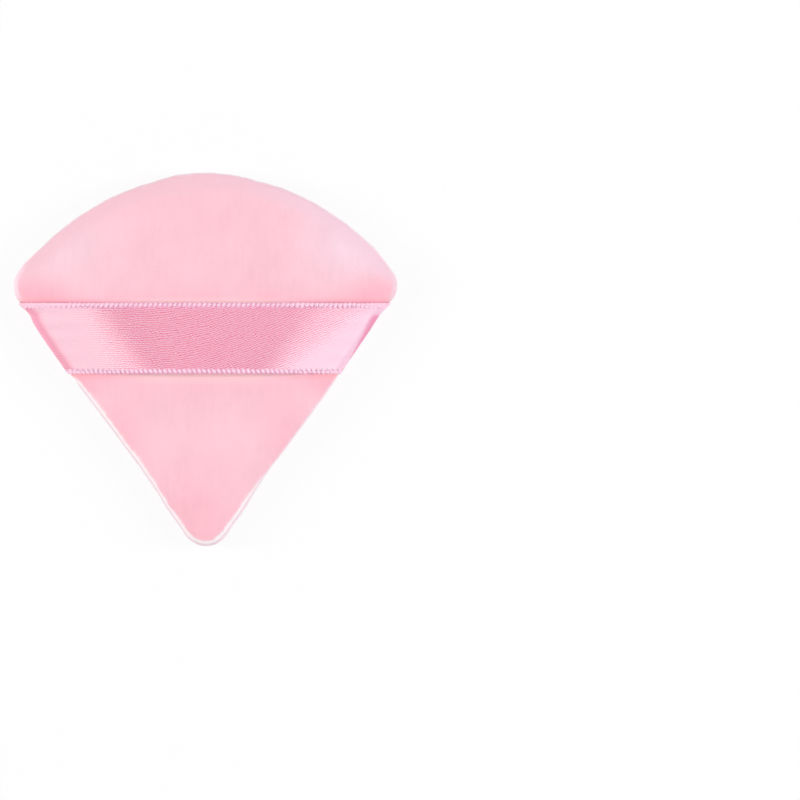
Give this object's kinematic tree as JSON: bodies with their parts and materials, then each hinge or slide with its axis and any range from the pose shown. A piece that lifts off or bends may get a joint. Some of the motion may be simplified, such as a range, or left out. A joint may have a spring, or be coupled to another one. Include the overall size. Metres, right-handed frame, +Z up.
{
  "type": "powder puff",
  "caption": "Fan-shaped velour powder puff: two seamed plush panels over a sponge core, with a satin finger ribbon across the back.",
  "frame": {"origin": "on the resting plane, under the middle of the puff's width and height", "axes": "+Z up through the finger ribbon, +Y from the pointed tip to the bowed edge, +X to the right along the ribbon"},
  "size_m": [0.081, 0.079, 0.0166],
  "materials": {
    "velour": "short cut-pile plush, baby pink",
    "sponge": "soft open-cell sponge, off-white",
    "satin": "woven satin ribbon, rose pink",
    "edge_yarn": "overcast ribbon edge, pale lilac pink",
    "thread": "polyester sewing thread, pink"
  },
  "bodies": {
    "pad": {"back_panel": "velour", "face_panel": "velour", "sponge_core": "sponge", "seam_needle_thread": "thread", "seam_bobbin_thread": "thread", "closing_thread": "thread"},
    "strap": {"ribbon_strap": "satin", "ribbon_upper_edge": "edge_yarn", "ribbon_lower_edge": "edge_yarn"}
  },
  "joints": [
    {"name": "strap_lift", "type": "slide", "parent": "pad", "child": "strap", "axis": [0, 0, 1], "range_m": [0, 0.004], "deforming": ["ribbon_strap", "ribbon_upper_edge", "ribbon_lower_edge"]}
  ]
}
